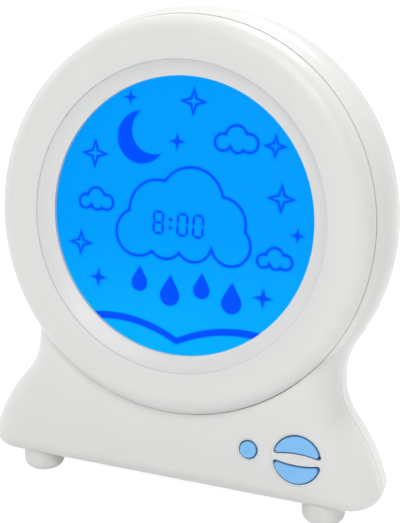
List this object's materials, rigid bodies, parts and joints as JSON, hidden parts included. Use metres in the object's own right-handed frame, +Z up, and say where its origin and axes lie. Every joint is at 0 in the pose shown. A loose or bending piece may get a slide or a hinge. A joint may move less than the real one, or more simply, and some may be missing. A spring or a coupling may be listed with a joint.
{
  "type": "alarm clock",
  "caption": "Round backlit bedside clock for a child: a fat ring round a dished window on a flared base with push buttons, a speaker on the back and short round feet.",
  "frame": {"origin": "middle of the footprint on the table: the bottom centre of the bounding box", "axes": "+Z up; +Y towards the back, so the display faces -Y and leans back 8 degrees; +X to the right as seen from the front"},
  "size_m": [0.1402, 0.0532, 0.16],
  "materials": {
    "case_white": "satin, light-tight white ABS",
    "button_blue": "satin sky blue",
    "window_clear": "clear acrylic, polished",
    "display_glass": "clear glass over a blue-lit pattern",
    "flex_amber": "smooth amber film",
    "diffuser_white": "frosted",
    "guide_clear": "clear with a printed back",
    "reflector_white": "white film",
    "tray_white": "moulded",
    "lamp_white": "moulded with a phosphor face",
    "board_green": "solder mask",
    "chip_black": "moulded",
    "sleeve_dark": "shrink sleeve",
    "can_steel": "drawn",
    "socket_cream": "moulded",
    "ribbon_grey": "soft flat cable",
    "switch_black": "moulded",
    "screw_steel": "zinc plated",
    "speaker_black": "satin black",
    "cone_paper": "pressed paper",
    "magnet_grey": "sintered",
    "foam_black": "closed-cell foam",
    "inlet_black": "moulded",
    "nickel": "nickel plated",
    "wire_red": "insulation",
    "wire_black": "insulation"
  },
  "bodies": {
    "case": {"backlight_leds": "lamp_white", "backlight_tray": "tray_white", "bezel_ring": "case_white", "board_capacitors": "sleeve_dark", "board_screws": "screw_steel", "case_screws": "screw_steel", "clock_crystal": "can_steel", "controller_chip": "chip_black", "dc_jack": "inlet_black", "dc_jack_nut": "nickel", "dc_jack_pin": "nickel", "diffuser_sheet": "diffuser_white", "down_switch_body": "switch_black", "down_switch_cover": "can_steel", "flex_socket": "socket_cream", "foot_front_left": "case_white", "foot_front_right": "case_white", "foot_rear_left": "case_white", "foot_rear_right": "case_white", "front_cover": "case_white", "key_board": "board_green", "key_board_screws": "screw_steel", "key_ribbon": "ribbon_grey", "lcd_flex": "flex_amber", "lcd_front_glass": "display_glass", "lcd_rear_glass": "display_glass", "led_board_left": "board_green", "led_board_right": "board_green", "light_guide": "guide_clear", "main_board": "board_green", "ok_switch_body": "switch_black", "ok_switch_cover": "can_steel", "power_wires": "wire_red", "rear_cover": "case_white", "reflector_sheet": "reflector_white", "ring_screws": "screw_steel", "speaker_cone": "cone_paper", "speaker_frame": "speaker_black", "speaker_gasket": "foam_black", "speaker_magnet": "magnet_grey", "speaker_screws": "screw_steel", "speaker_wires": "wire_black", "up_switch_body": "switch_black", "up_switch_cover": "can_steel", "window_lens": "window_clear"},
    "ok_key": {"ok_button": "button_blue", "ok_switch_plunger": "switch_black"},
    "up_key": {"up_button": "button_blue", "up_switch_plunger": "switch_black"},
    "down_key": {"down_button": "button_blue", "down_switch_plunger": "switch_black"}
  },
  "joints": [
    {"name": "ok_press", "type": "slide", "parent": "case", "child": "ok_key", "axis": [0, 0.9903, -0.1392], "range_m": [0, 0.0008], "stiffness_N_per_m": 2000, "springref_m": -0.0001},
    {"name": "up_press", "type": "slide", "parent": "case", "child": "up_key", "axis": [0, 0.9903, -0.1392], "range_m": [0, 0.0008], "stiffness_N_per_m": 2000, "springref_m": -0.0001},
    {"name": "down_press", "type": "slide", "parent": "case", "child": "down_key", "axis": [0, 0.9903, -0.1392], "range_m": [0, 0.0008], "stiffness_N_per_m": 2000, "springref_m": -0.0001}
  ]
}
